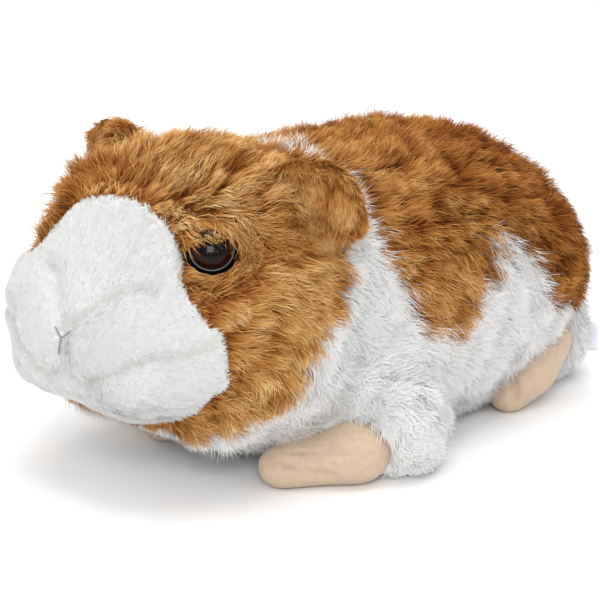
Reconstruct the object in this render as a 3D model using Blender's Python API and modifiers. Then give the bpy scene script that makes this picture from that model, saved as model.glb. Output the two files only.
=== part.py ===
"""Plush guinea pig, lying on its belly: a stuffed toy of long and short pile plush with
velour paws, safety eyes, a stitched nose and a blank care label.

Frame: metres, +Z up, the nose towards -Y, the toy's left side at +X. The origin is on the
floor under the middle of the toy. Every solid has the outer size of its pile, so the solids
together are the toy's true outline. Sizes below are in millimetres.

The sewn body is shaped whole. Planes part it into muzzle, head and trunk, rounded cuts part
the legs from it, and the ears, eyes, paws, nose stitches and label are pressed into it.
"""

import math

import bmesh
import bpy
import numpy as np
from mathutils import Euler, Matrix, Vector

MM = 0.001
GAP = 0.3  # between solids that touch
SIDES = {"left": 1, "right": -1}

# The sewn body, head and trunk in one, by stations from nose to tail.
# name: (y, half width, top, bottom)
STATIONS = {
    "nose": (-115, 34, 67, 23),
    "muzzle": (-102, 45, 73, 25),
    "brow": (-84, 51, 94, 16.5),
    "crown": (-56, 57, 107.5, 4),
    "nape": (-26, 53, 101, -2),
    "shoulder": (0, 61, 98, -6),
    "loin": (36, 62, 99, -7),
    "rump": (78, 54, 92, -1),
    "tail": (122, 42, 62, 9),
}
FRONT_ROUND = 30  # length over which the muzzle closes
REAR_ROUND = 52
SECTION_POWER = 2.3  # 2 is an ellipse, more is squarer
END_POWER = 2.3

# Stuffed forms that swell out of the body, on the left side: centre, radii
SWELLINGS = {
    "cheek": ((25, -69, 32), (18, 23, 22)),
    "muzzle_pad": ((17, -101, 42), (17, 13.5, 14)),
    "haunch": ((38, 58, 45.5), (24, 38, 35)),
    "sleeve": ((57, -20.5, 16), (17, 18.5, 20)),
    "hock": ((30.5, 89.5, 18.7), (19, 22.5, 20)),
}
BODY_VOXEL = 3.0
BODY_SHARE = 0.08  # of the remeshed body's faces, kept for the solids

# Planes that part the body: a point (y, z) and the tilt back from upright, in degrees
MUZZLE_PLANE = ((-94, 50), 10)
NECK_PLANE = ((-42, 50), 20)

# Rounded cuts that part the legs from the body, on the left side: centre, radii
LEG_CUTS = {
    "front_leg": ((60, -19.5, 13), (21, 21.5, 27)),
    "hind_leg": ((49, 72, 31), (28, 43, 43)),
}

# Velour paws, as round lobes from the toes back: centre, radii
PAWS = {
    "front_paw_left": (
        ((39.5, -56.5, 5.6), (8.5, 9, 5.8)),
        ((46, -47, 7.4), (8.5, 10, 7.6)),
        ((54, -37.5, 10.8), (10.5, 12, 11.2)),
    ),
    "front_paw_right": (
        ((-20, -51, 5.6), (9, 9, 5.8)),
        ((-33, -45, 7), (9, 9.5, 7.2)),
        ((-48, -37, 10.5), (12, 11, 10.8)),
    ),
    "hind_paw_left": (
        ((47, 51.5, 6.8), (7, 8.5, 6.8)),
        ((49.5, 61.5, 13), (7.6, 11, 8.6)),
        ((48, 74, 21), (6.5, 9.5, 7.4)),
    ),
    "hind_paw_right": (
        ((-47, 51.5, 6.8), (7, 8.5, 6.8)),
        ((-49.5, 61.5, 13), (7.6, 11, 8.6)),
        ((-48, 74, 21), (6.5, 9.5, 7.4)),
    ),
}
LOBE_STEPS = 3  # from one lobe to the next, so that a paw is one smooth stuffed form
PAW_VOXEL = 1.3
PAW_SHARE = 0.075

# The left ear: a squarish flap that cups forward and droops at its outer edge
EAR_CENTRE = (44, -47, 92.5)
EAR_RADII = (18, 5, 14.2)  # out, thick, tall
EAR_POWER = 2.7
EAR_TURN = (8, -8, 16)  # degrees about X, Y and Z
EAR_CUP = 5.0  # how far its edges curl forward
EAR_DROOP = 4.0  # how far its outer edge hangs

# The left eye: a black flange with a dome on it, at the bottom of a well in the pile
EYE_CENTRE = (31.9, -80.1, 79.6)
EYE_AXIS = (0.66, -0.59, 0.46)
FLANGE_RADIUS = 8.6
FLANGE_THICK = 1.3
DOME_RADIUS = 6.9
DOME_HEIGHT = 5.4
DOME_STEPS = 5
WELL_DEPTH = 16
WELL_FLARE = 4  # how much wider its mouth is

# Stitches of the nose, a Y: each from and to (x, z), thread radius
NOSE_STITCHES = (((0, 48.5), (0, 54)), ((-0.4, 53.4), (-2.6, 56.2)), ((0.4, 53.4), (2.6, 56.2)))
NOSE_Y = (-115.2, -112.6)  # at the bottom and the top of the Y
THREAD_RADIUS = 0.8

# The care label: a folded strip that stands out of the left hind leg's seam
LABEL_ROOT = (33, 101, 13)
LABEL_SIZE = (13.5, 0.9, 8)  # out, thick, tall
LABEL_TURN = 42  # degrees about Z, from +X

COLOURS = {  # base colour, roughness
    "caramel_plush": ((0.48, 0.22, 0.055), 0.9),
    "white_plush": ((0.86, 0.86, 0.84), 0.9),
    "peach_velour": ((0.80, 0.54, 0.37), 0.85),
    "black_plastic": ((0.01, 0.008, 0.007), 0.12),
    "grey_thread": ((0.16, 0.19, 0.24), 0.7),
    "white_satin": ((0.85, 0.84, 0.86), 0.5),
}


def clear_scene():
    for obj in list(bpy.data.objects):
        bpy.data.objects.remove(obj, do_unlink=True)


def make_materials():
    materials = {}
    for name, (colour, roughness) in COLOURS.items():
        material = bpy.data.materials.new(name)
        material.use_nodes = True
        shader = material.node_tree.nodes["Principled BSDF"]
        shader.inputs["Base Color"].default_value = (*colour, 1)
        shader.inputs["Roughness"].default_value = roughness
        materials[name] = material
    return materials


def new_object(name, bm, collection, material=None):
    bmesh.ops.recalc_face_normals(bm, faces=bm.faces)
    mesh = bpy.data.meshes.new(name)
    bm.to_mesh(mesh)
    bm.free()
    mesh.shade_smooth()
    if material:
        mesh.materials.append(material)
    obj = bpy.data.objects.new(name, mesh)
    collection.objects.link(obj)
    return obj


def finished_mesh(obj):
    """A bmesh of the object with its modifiers applied."""
    bpy.context.view_layer.update()
    graph = bpy.context.evaluated_depsgraph_get()
    mesh = bpy.data.meshes.new_from_object(obj.evaluated_get(graph))
    bm = bmesh.new()
    bm.from_mesh(mesh)
    bpy.data.meshes.remove(mesh)
    return bm


def mirrored(point, side):
    x, y, z = point
    return (side * x, y, z)


def add_ellipsoid(bm, centre, radii, rings=16):
    place = Matrix.Translation(Vector(centre) * MM) @ Matrix.Diagonal((*(Vector(radii) * MM), 1))
    bmesh.ops.create_uvsphere(bm, u_segments=rings * 3 // 2, v_segments=rings, radius=1, matrix=place)


def join_and_soften(obj, voxel, passes, share):
    """Joins overlapping closed forms into one skin, rounds the creases and thins the faces."""
    remesh = obj.modifiers.new("join", "REMESH")
    remesh.mode = "VOXEL"
    remesh.voxel_size = voxel * MM
    smooth = obj.modifiers.new("soften", "SMOOTH")
    smooth.factor = 0.5
    smooth.iterations = passes
    decimate = obj.modifiers.new("thin", "DECIMATE")
    decimate.ratio = share


def cut_on_plane(bm, point, normal):
    """Cuts a closed mesh on a plane, removes what the normal points at, and closes the rest."""
    everything = bm.verts[:] + bm.edges[:] + bm.faces[:]
    cut = bmesh.ops.bisect_plane(
        bm, geom=everything, plane_co=point, plane_no=normal, clear_outer=True, dist=1e-6
    )
    rim = [e for e in cut["geom_cut"] if isinstance(e, bmesh.types.BMEdge)]
    bmesh.ops.holes_fill(bm, edges=rim, sides=0)


# ---------------------------------------------------------------- the sewn body


def profile(values, y):
    """A smooth curve through the stations' values (cubic, with slopes from the neighbours)."""
    at = np.array([s[0] for s in STATIONS.values()], float)
    slopes = np.gradient(values, at)
    i = int(np.clip(np.searchsorted(at, y) - 1, 0, len(at) - 2))
    span = at[i + 1] - at[i]
    t = (y - at[i]) / span
    before = (1 + 2 * t) * (1 - t) ** 2 * values[i] + t * (1 - t) ** 2 * span * slopes[i]
    after = t * t * (3 - 2 * t) * values[i + 1] - t * t * (1 - t) * span * slopes[i + 1]
    return before + after


def end_closing(y, y_front, y_rear):
    """1 along the body, and down to 0 at either end on a rounded cap."""
    depth = min((y - y_front) / FRONT_ROUND, (y_rear - y) / REAR_ROUND, 1)
    return (1 - (1 - max(depth, 0)) ** END_POWER) ** (1 / END_POWER)


def body_form():
    """A UV sphere with its poles at nose and tail, each ring set to its station's section."""
    widths, tops, bottoms = (
        np.array([s[k] for s in STATIONS.values()], float) for k in (1, 2, 3)
    )
    y_front, y_rear = STATIONS["nose"][0], STATIONS["tail"][0]
    bm = bmesh.new()
    bmesh.ops.create_uvsphere(
        bm, u_segments=40, v_segments=36, radius=1, matrix=Matrix.Rotation(math.pi / 2, 4, "X")
    )
    for v in bm.verts:
        y = y_front + (v.co.y + 1) / 2 * (y_rear - y_front)
        close = end_closing(y, y_front, y_rear)
        angle = math.atan2(v.co.z, v.co.x)
        c, s = math.cos(angle), math.sin(angle)
        across = math.copysign(abs(c) ** (2 / SECTION_POWER), c)
        upward = math.copysign(abs(s) ** (2 / SECTION_POWER), s)
        top, bottom = profile(tops, y), profile(bottoms, y)
        middle, half = (top + bottom) / 2, (top - bottom) / 2
        x = profile(widths, y) * close * across
        v.co = Vector((x, y, middle + half * close * upward)) * MM
    return bm


def sewn_body(collection):
    """The whole body with its swellings, flat where it lies on the floor."""
    bm = body_form()
    for centre, radii in SWELLINGS.values():
        for side in SIDES.values():
            add_ellipsoid(bm, mirrored(centre, side), radii)
    body = new_object("body", bm, collection)
    join_and_soften(body, BODY_VOXEL, 6, BODY_SHARE)
    bm = finished_mesh(body)
    cut_on_plane(bm, (0, 0, 0), (0, 0, -1))
    bpy.data.objects.remove(body)
    return new_object("body", bm, collection)


def plane(point, tilt, shift=0):
    """A point and a forward normal of a parting plane, shifted along the normal."""
    normal = Vector((0, -math.cos(math.radians(tilt)), math.sin(math.radians(tilt))))
    return (Vector((0, *point)) + normal * shift) * MM, normal


def parted_body(body, collection, materials):
    """The muzzle, head and trunk, each a slice of the body with a gap to the next."""
    slices = {
        "muzzle": ("white_plush", (MUZZLE_PLANE, 1), None),
        "head": ("caramel_plush", (NECK_PLANE, 1), (MUZZLE_PLANE, -1)),
        "trunk": ("caramel_plush", None, (NECK_PLANE, -1)),
    }
    made = {}
    for name, (material, behind, before) in slices.items():
        bm = finished_mesh(body)
        if behind:
            point, normal = plane(*behind[0], shift=GAP / 2)
            cut_on_plane(bm, point, -normal)
        if before:
            point, normal = plane(*before[0], shift=-GAP / 2)
            cut_on_plane(bm, point, normal)
        made[name] = new_object(name, bm, collection, materials[material])
    return made


def add_boolean(obj, cutter, operation="DIFFERENCE", solver="EXACT"):
    modifier = obj.modifiers.new(f"{operation.lower()}_{cutter.name}", "BOOLEAN")
    modifier.operation = operation
    modifier.solver = solver
    modifier.object = cutter


def leg_cutter(name, side, grow, cutters):
    centre, radii = LEG_CUTS[name]
    bm = bmesh.new()
    add_ellipsoid(bm, mirrored(centre, side), [r + grow for r in radii], rings=10)
    return new_object(f"cut_{name}", bm, cutters)


def grown_copy(obj, cutters):
    """The piece, bigger by the gap all round, to cut its neighbours with."""
    cutter = new_object(f"around_{obj.name}", finished_mesh(obj), cutters)
    displace = cutter.modifiers.new("grow", "DISPLACE")
    displace.mid_level = 0
    displace.strength = 1.3 * GAP * MM
    return cutter


# ---------------------------------------------------------------- ears, eyes, paws, trim


def ear(name, side, collection, material):
    bm = bmesh.new()
    add_ellipsoid(bm, (0, 0, 0), EAR_RADII, rings=12)
    out, _, tall = EAR_RADII
    for v in bm.verts:
        across, up = v.co.x / (out * MM), v.co.z / (tall * MM)
        round_off = math.hypot(across, up)
        if round_off > 0:
            square_off = (abs(across) ** EAR_POWER + abs(up) ** EAR_POWER) ** (1 / EAR_POWER)
            across, up = across * round_off / square_off, up * round_off / square_off
            v.co.x, v.co.z = across * out * MM, up * tall * MM
        v.co.y -= EAR_CUP * MM * (across**2 + up**2) / 2
        v.co.z -= EAR_DROOP * MM * max(across, 0) ** 2
    turn = Euler([math.radians(a) for a in EAR_TURN]).to_matrix().to_4x4()
    bmesh.ops.transform(bm, matrix=Matrix.Translation(Vector(EAR_CENTRE) * MM) @ turn, verts=bm.verts)
    bmesh.ops.scale(bm, vec=(side, 1, 1), verts=bm.verts)
    return new_object(name, bm, collection, material)


def eye(name, side, collection, material):
    """A turned flange with a dome, its back at the eye's centre and its axis outwards."""
    bm = bmesh.new()
    outline = [(0, 0), (FLANGE_RADIUS, 0), (FLANGE_RADIUS, FLANGE_THICK), (DOME_RADIUS, FLANGE_THICK)]
    for i in range(1, DOME_STEPS):
        angle = i / DOME_STEPS * math.pi / 2
        height = FLANGE_THICK + DOME_HEIGHT * math.sin(angle)
        outline.append((DOME_RADIUS * math.cos(angle), height))
    outline.append((0, FLANGE_THICK + DOME_HEIGHT))
    verts = [bm.verts.new((r * MM, 0, z * MM)) for r, z in outline]
    edges = [bm.edges.new(pair) for pair in zip(verts, verts[1:])]
    bmesh.ops.spin(
        bm, geom=verts + edges, axis=(0, 0, 1), cent=(0, 0, 0),
        angle=math.tau, steps=18, use_merge=True,
    )
    bmesh.ops.remove_doubles(bm, verts=bm.verts, dist=1e-6)
    bmesh.ops.transform(bm, matrix=eye_place(side), verts=bm.verts)
    return new_object(name, bm, collection, material)


def eye_place(side):
    """The eye's own axes: its back at the origin and its axis along Z."""
    place = Matrix.Translation(Vector(mirrored(EYE_CENTRE, side)) * MM)
    return place @ Vector(mirrored(EYE_AXIS, side)).to_track_quat("Z", "Y").to_matrix().to_4x4()


def eye_well(side, cutters):
    """A cone that clears the eye and opens outwards through the pile."""
    bottom = FLANGE_RADIUS + GAP
    lift = Matrix.Translation((0, 0, (WELL_DEPTH / 2 - GAP) * MM))
    bm = bmesh.new()
    bmesh.ops.create_cone(
        bm, cap_ends=True, segments=24, radius1=bottom * MM,
        radius2=(bottom + WELL_FLARE) * MM, depth=WELL_DEPTH * MM, matrix=eye_place(side) @ lift,
    )
    return new_object("eye_well", bm, cutters)


def paw(name, collection, material, workshop):
    """Round lobes, and those between them, grown together and flat underneath."""
    lobes = np.array(PAWS[name])
    bm = bmesh.new()
    for step in range((len(lobes) - 1) * LOBE_STEPS + 1):
        before, part_way = divmod(step, LOBE_STEPS)
        after = min(before + 1, len(lobes) - 1)
        centre, radii = lobes[before] + (lobes[after] - lobes[before]) * part_way / LOBE_STEPS
        add_ellipsoid(bm, centre, radii)
    raw = new_object("raw_paw", bm, workshop)
    join_and_soften(raw, PAW_VOXEL, 14, PAW_SHARE)
    bm = finished_mesh(raw)
    bpy.data.objects.remove(raw)
    lowest = min(v.co.z for v in bm.verts)
    bmesh.ops.translate(bm, vec=(0, 0, -lowest - 0.6 * MM), verts=bm.verts)
    cut_on_plane(bm, (0, 0, 0), (0, 0, -1))
    return new_object(name, bm, collection, material)


def stitch_bar(ends, grow, cutters):
    """One straight bar of thread; its ends are (x, z) on the front of the muzzle."""
    low, high = NOSE_STITCHES[0][0][1], NOSE_STITCHES[1][1][1]
    start, end = (Vector((x, np.interp(z, (low, high), NOSE_Y), z)) * MM for x, z in ends)
    radius = (THREAD_RADIUS + grow) * MM
    turn = (end - start).to_track_quat("Z", "Y").to_matrix().to_4x4()
    bm = bmesh.new()
    bmesh.ops.create_cone(
        bm, cap_ends=True, segments=10, radius1=radius, radius2=radius,
        depth=(end - start).length + radius, matrix=Matrix.Translation((start + end) / 2) @ turn,
    )
    return new_object("stitch_bar", bm, cutters)


def nose_stitches(muzzle, collection, material, cutters):
    """Three bars of thread that meet in a Y, sunk in the front of the muzzle."""
    bars = [stitch_bar(ends, 0, cutters) for ends in NOSE_STITCHES]
    whole = new_object("nose_stitches", finished_mesh(bars[0]), collection, material)
    for bar in bars[1:]:
        add_boolean(whole, bar, "UNION")
    for ends in NOSE_STITCHES:
        add_boolean(muzzle, stitch_bar(ends, GAP, cutters))


def care_label(collection, material):
    bm = bmesh.new()
    length = LABEL_SIZE[0]
    place = (
        Matrix.Translation(Vector(LABEL_ROOT) * MM)
        @ Matrix.Rotation(math.radians(LABEL_TURN), 4, "Z")
        @ Matrix.Translation((length / 2 * MM, 0, 0))
        @ Matrix.Diagonal((*(Vector(LABEL_SIZE) * MM), 1))
    )
    bmesh.ops.create_cube(bm, size=1, matrix=place)
    return new_object("care_label", bm, collection, material)


def main():
    clear_scene()
    toy = bpy.data.collections.new("plush_guinea_pig")
    cutters = bpy.data.collections.new("cutters")
    for collection in (toy, cutters):
        bpy.context.scene.collection.children.link(collection)
    materials = make_materials()

    body = sewn_body(cutters)
    parts = parted_body(body, toy, materials)

    for name in LEG_CUTS:
        for side_name, side in SIDES.items():
            leg = new_object(f"{name}_{side_name}", finished_mesh(body), toy, materials["white_plush"])
            add_boolean(leg, leg_cutter(name, side, 0, cutters), "INTERSECT")
            around = leg_cutter(name, side, GAP, cutters)
            for slice_name in ("head", "trunk"):
                if name == "front_leg" or slice_name == "trunk":
                    add_boolean(parts[slice_name], around)
            parts[leg.name] = leg

    pressed_in = {"care_label": ("hind_leg_left", "trunk")}
    nose_stitches(parts["muzzle"], toy, materials["grey_thread"], cutters)
    care_label(toy, materials["white_satin"])
    for side_name, side in SIDES.items():
        ear(f"ear_{side_name}", side, toy, materials["caramel_plush"])
        eye(f"eye_{side_name}", side, toy, materials["black_plastic"])
        well = eye_well(side, cutters)
        for name in ("head", "muzzle"):
            add_boolean(parts[name], well)
        paw(f"front_paw_{side_name}", toy, materials["peach_velour"], cutters)
        paw(f"hind_paw_{side_name}", toy, materials["peach_velour"], cutters)
        pressed_in[f"ear_{side_name}"] = ("head",)
        pressed_in[f"front_paw_{side_name}"] = ("head", "trunk", f"front_leg_{side_name}")
        pressed_in[f"hind_paw_{side_name}"] = ("trunk", f"hind_leg_{side_name}")
    for piece_name, neighbours in pressed_in.items():
        around = grown_copy(toy.objects[piece_name], cutters)
        for neighbour in neighbours:
            # The exact solver loses the trunk where a paw's cut crosses a leg's.
            add_boolean(parts[neighbour], around, solver="MANIFOLD")

    for helper in cutters.objects:
        helper.hide_render = True
        helper.display_type = "WIRE"


main()
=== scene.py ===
# %% [markdown]
# # A plush guinea pig
# The toy lies on its belly: a stuffed body of long pile plush, in caramel and white, with a
# short-pile white muzzle, velour paws, plastic safety eyes, a stitched nose and a blank care
# label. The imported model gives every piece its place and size, and this lesson dresses it: one
# skin of backing cloth takes the place of the plush solids, and the pile is grown on that skin
# as thin blades of mesh.

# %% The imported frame
import math

import bmesh
import bpy
import numpy as np
from mathutils import Matrix, Vector, kdtree, noise
from mathutils.bvhtree import BVHTree


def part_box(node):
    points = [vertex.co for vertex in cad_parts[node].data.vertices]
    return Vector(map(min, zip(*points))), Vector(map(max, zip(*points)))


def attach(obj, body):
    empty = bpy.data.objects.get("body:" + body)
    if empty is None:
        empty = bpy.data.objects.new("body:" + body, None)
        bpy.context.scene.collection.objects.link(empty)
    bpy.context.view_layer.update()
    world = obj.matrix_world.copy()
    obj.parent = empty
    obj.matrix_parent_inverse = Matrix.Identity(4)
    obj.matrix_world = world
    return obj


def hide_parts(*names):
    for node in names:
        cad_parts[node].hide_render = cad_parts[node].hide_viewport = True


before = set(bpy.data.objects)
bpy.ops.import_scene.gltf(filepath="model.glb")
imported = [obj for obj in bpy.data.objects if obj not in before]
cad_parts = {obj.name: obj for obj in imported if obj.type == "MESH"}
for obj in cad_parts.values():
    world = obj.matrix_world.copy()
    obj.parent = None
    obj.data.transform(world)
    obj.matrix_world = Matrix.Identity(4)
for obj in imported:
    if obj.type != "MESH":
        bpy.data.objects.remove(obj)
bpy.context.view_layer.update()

MM = 0.001
print("nodes:", sorted(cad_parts))

# %% [markdown]
# ## Camera, light and floor
# A toy like this is photographed on a pale sweep with broad, soft light, from a little above and
# off its left cheek. A long lens keeps the nose from looking swollen.

# %% The camera
CAMERA_PLACE = Vector((0.4516, -0.4947, 0.2290))
CAMERA_AIM = Vector((-0.0026, -0.0035, 0.0420))

LENS, SENSOR_WIDTH = 121.4, 36  # mm


def add_object(name, data):
    thing = bpy.data.objects.new(name, data)
    bpy.context.scene.collection.objects.link(thing)
    return thing


def place_and_aim(thing, place, direction):
    thing.location = place
    thing.rotation_euler = direction.to_track_quat("-Z", "Y").to_euler()


camera_data = bpy.data.cameras.new("camera")
camera_data.lens = LENS
camera_data.sensor_width = SENSOR_WIDTH
camera = add_object("camera", camera_data)
place_and_aim(camera, CAMERA_PLACE, CAMERA_AIM - CAMERA_PLACE)
bpy.context.scene.camera = camera
print("camera distance:", round((CAMERA_AIM - CAMERA_PLACE).length, 3), "m")

# %% Soft light from every side
SOFTBOXES = {  # place and width in metres, power in watts
    "key": ((0.75, -0.85, 0.62), 0.5, 7),
    "top": ((0.0, 0.1, 1.5), 1.2, 14),
    "fill": ((-1.0, -0.7, 0.5), 0.9, 2)}
WORLD_GREY = 0.78

for name, (place, width, power) in SOFTBOXES.items():
    light = bpy.data.lights.new(name, "AREA")
    light.size = width
    light.energy = power
    place_and_aim(add_object(name, light), place, -Vector(place))
world = bpy.data.worlds.new("studio")
world.use_nodes = True
world.node_tree.nodes["Background"].inputs["Color"].default_value = (WORLD_GREY,) * 3 + (1,)
bpy.context.scene.world = world
bpy.context.scene.view_settings.view_transform = "Standard"

# %% [markdown]
# ## Two kinds of helper
# Every finish below is a Principled shader with a few nodes in front of it, and every new piece
# rides on the toy's one body. Both are worth a few functions.

# %% Helpers for finishes


def new_finish(name, roughness, specular, colour=(0.8, 0.8, 0.8)):
    """A material, its node tree and its Principled shader; the colour is linear RGB."""
    material = bpy.data.materials.new(name)
    material.use_nodes = True
    shader = material.node_tree.nodes["Principled BSDF"]
    shader.inputs["Roughness"].default_value = roughness
    shader.inputs["Specular IOR Level"].default_value = specular
    shader.inputs["Base Color"].default_value = (*colour, 1)
    return material, material.node_tree, shader


def add_node(tree, kind, links=(), values=(), **settings):
    """A node; links are (input, output socket) pairs, and values (input, value) pairs."""
    node = tree.nodes.new(kind)
    for key, value in settings.items():
        setattr(node, key, value)
    for socket, value in values:
        node.inputs[socket].default_value = value
    for socket, source in links:
        tree.links.new(source, node.inputs[socket])
    return node


def add_ramp(tree, factor, stops):
    """A colour ramp; stops are (position, linear RGB)."""
    ramp = add_node(tree, "ShaderNodeValToRGB", [("Fac", factor)])
    elements = ramp.color_ramp.elements
    while len(elements) < len(stops):
        elements.new(1)
    for element, (position, colour) in zip(elements, stops):
        element.position = position
        element.color = (*colour, 1)
    return ramp.outputs["Color"]


def add_noise(tree, place, scale, detail=2):
    """Noise over a place socket, as its Fac output."""
    values = [("Scale", scale), ("Detail", detail)]
    return add_node(tree, "ShaderNodeTexNoise", [("Vector", place)], values).outputs["Fac"]


# %% Helpers for pieces


def mesh_from_bmesh(name, bm):
    mesh = bpy.data.meshes.new(name)
    bm.to_mesh(mesh)
    bm.free()
    mesh.shade_smooth()
    return mesh


def add_piece(mesh, material):
    mesh.materials.append(material)
    piece = add_object(mesh.name, mesh)
    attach(piece, "root")
    return piece


# %% The floor
FLOOR_REACH = 6  # metres from its middle to each side
FLOOR_GREY = (0.93, 0.93, 0.93)

floor_finish, _, _ = new_finish("pale_sweep", 0.9, 0.2, FLOOR_GREY)
floor_bm = bmesh.new()
bmesh.ops.create_grid(floor_bm, x_segments=1, y_segments=1, size=FLOOR_REACH)
floor = add_object("floor", mesh_from_bmesh("floor", floor_bm))
floor.data.materials.append(floor_finish)

# %% [markdown]
# ## Where the caramel and the white lie
# The toy is sewn from panels: a caramel head patch behind the white muzzle, a white band round
# the neck, a caramel saddle that runs over the back with two points down each flank, and white
# below. A panel is drawn once, in the side view, as corners (y, z) in millimetres, and both
# flanks share it. Only the muzzle's edge has a line for each side, as its seam isn't sewn quite
# evenly. Skin and pile both ask the same functions, so they always agree.

# %% The panels in the side view
LEFT_MUZZLE_EDGE = [
    (-80, 11), (-86, 17), (-94.5, 25), (-92.5, 31), (-92, 37), (-88, 41), (-89.5, 51), (-91, 59),
    (-94.5, 63), (-95, 69), (-92, 74), (-88, 78), (-89, 84), (-86.5, 90), (-83, 95.3),
    (-86, 98), (-95, 101)]
RIGHT_MUZZLE_EDGE = [
    (-80, 11), (-86, 17), (-94.5, 25), (-92, 37), (-89, 43), (-90, 55), (-92, 65), (-92, 72),
    (-90.5, 78), (-89.5, 83), (-86.5, 89), (-84, 94), (-86, 96.5), (-95, 100)]
HEAD_PATCH = [
    (-125, 16), (-125, 130), (-12, 130), (-12, 97), (-16, 88), (-35, 80), (-34, 69), (-33, 63.5),
    (-37, 59), (-39.5, 54.5), (-46, 51), (-52, 47), (-57, 42), (-60, 37), (-59.5, 33), (-62, 28),
    (-67, 24), (-77, 21.5), (-84, 19)]
SADDLE = [
    (4, 130), (4, 98.6), (-3, 98), (-9, 97), (-11, 94), (-10.5, 91), (-12.5, 88), (-15, 84),
    (-16, 77), (-18, 71), (-18.5, 66.5), (-14.5, 61), (-15, 56), (-9.5, 52), (-9.5, 46), (-7, 42),
    (-0.5, 39.5), (7.5, 35), (16, 44), (20, 48.5), (17, 53.5), (30, 52), (28.5, 64), (28.5, 69),
    (36, 63.5), (47.5, 55.5), (52, 49.5), (56.5, 43.5), (59.5, 39), (68, 35), (82, 31), (105, 26),
    (135, 23), (135, 130)]
RAGGED = 1.6  # how far the long pile wanders over a seam, in mm
MUZZLE_RAGGED = 0.6
EDGE_BLEND = 12 * MM  # how far out from the middle the muzzle's edge is all left or all right
print("corners:", [len(c) for c in (LEFT_MUZZLE_EDGE, RIGHT_MUZZLE_EDGE, HEAD_PATCH, SADDLE)])

# %% Noise and panels
NOISE_SEED = 2  # left to itself, the noise is different on every run
noise.seed_set(NOISE_SEED)


def smooth_noise(points, size, seed):
    """Three smooth random values from -1 to 1 at each point; size is the grain in metres."""
    shift = Vector((seed * 7.31, seed * 3.17, seed * 5.77))
    return np.array([noise.noise_vector(Vector(p) / size + shift) for p in points])


def in_panel(corners, y, z):
    """Even-odd test of many points against one panel's outline."""
    inside = np.zeros(len(y), bool)
    for (y0, z0), (y1, z1) in zip(corners, corners[1:] + corners[:1]):
        crosses = (z0 > z) != (z1 > z)
        if z0 != z1:
            inside ^= crosses & (y < y0 + (z - z0) * (y1 - y0) / (z1 - z0))
    return inside


def ease(values, start, end):
    """0 at the start, 1 at the end and smooth between; the end may be the lower one."""
    share = np.clip((values - start) / (end - start), 0, 1)
    return share * share * (3 - 2 * share)


def ahead_of_muzzle_edge(points):
    """How far a point lies in front of the muzzle's edge, in metres."""
    left, right = (
        np.interp(points[:, 2] / MM, *reversed(np.array(edge, float).T)) * MM
        for edge in (LEFT_MUZZLE_EDGE, RIGHT_MUZZLE_EDGE))
    return right + (left - right) * ease(points[:, 0], -EDGE_BLEND, EDGE_BLEND) - points[:, 1]


def on_muzzle(points):
    """True on the short white pile; its seam is neat, so it wanders only a little."""
    wander = MUZZLE_RAGGED * MM * smooth_noise(points, 3 * MM, 5)[:, 0]
    return ahead_of_muzzle_edge(points) > wander


def is_caramel(points):
    """True where a point, in metres, is on a caramel panel."""
    wander = smooth_noise(points, 6 * MM, 1) + 0.6 * smooth_noise(points, 2.2 * MM, 2)
    y = points[:, 1] / MM + RAGGED * wander[:, 1]
    z = points[:, 2] / MM + RAGGED * wander[:, 2]
    return (in_panel(HEAD_PATCH, y, z) & ~on_muzzle(points)) | in_panel(SADDLE, y, z)


# %% [markdown]
# ## One skin of backing cloth
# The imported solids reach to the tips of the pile. The cloth that the pile is woven into lies
# deeper, by about 6 mm on the body, 1 mm on the muzzle and less where the belly rests on the
# floor. So the plush solids and the paws are joined, with a ball of stuffing behind each eye,
# voxel remeshed into one surface and smoothed. It is then let in along its normals, but never by
# more than a share of the local thickness, so that the ears keep two sides.

# %% How deep the pile is on each node
PILE_DEPTH = {  # mm
    "trunk": 6.4, "head": 6.0, "muzzle": 5.0, "front_leg": 4.2, "hind_leg": 5.6, "ear": 2.2,
    "front_paw": 4.5, "hind_paw": 4.5}
MUZZLE_PILE = 1.1
FACE_PILE = (2.4, 6.0)  # beside the muzzle's edge, and FACE_RISE behind it
FACE_RISE = 8 * MM
FACE_END = -70 * MM
BELLY_PILE = 0.8
SIDES = {"left": 1, "right": -1}
EAR_OUT, EAR_UP = 42 * MM, 97 * MM  # an ear stands clear of the head beyond one of these
TOE_TO_HEEL = (  # how high a front paw is stuffed, at shares of its length from the toe
    [0, 0.2, 0.5, 0.8, 1], [1.28, 1.2, 0.96, 0.92, 1.0])


def on_ears(points):
    """1 on the ears and 0 off them, by the boxes of their nodes."""
    found = np.zeros(len(points))
    for side in SIDES:
        low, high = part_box(f"ear_{side}")
        middle, half = np.array((low + high) / 2), np.array((high - low) / 2)
        outward = abs((points - middle) / half).max(1)
        clear = (abs(points[:, 0]) > EAR_OUT) | (points[:, 2] > EAR_UP)
        found = np.maximum(found, (outward < 1) & clear)
    return found


def node_mesh(bm, name):
    """Adds a CAD node to a bmesh, its loose triangles merged and a front paw's toe stuffed full."""
    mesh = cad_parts[name].data.copy()
    if name.startswith("front_paw"):
        reach = [abs(v.co.x) for v in mesh.vertices]
        for v, x in zip(mesh.vertices, reach):
            v.co.z *= np.interp((x - min(reach)) / (max(reach) - min(reach)), *TOE_TO_HEEL)
    bm.from_mesh(mesh)
    bpy.data.meshes.remove(mesh)
    bmesh.ops.remove_doubles(bm, verts=bm.verts, dist=1e-6)


def kind_of(name):
    """A node's name without its side."""
    return name.removesuffix("_left").removesuffix("_right")


plush_nodes = [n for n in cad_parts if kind_of(n) in PILE_DEPTH]
skin_nodes = [n for n in plush_nodes if "paw" not in n]
print(len(skin_nodes), "nodes of plush make one skin")

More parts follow.
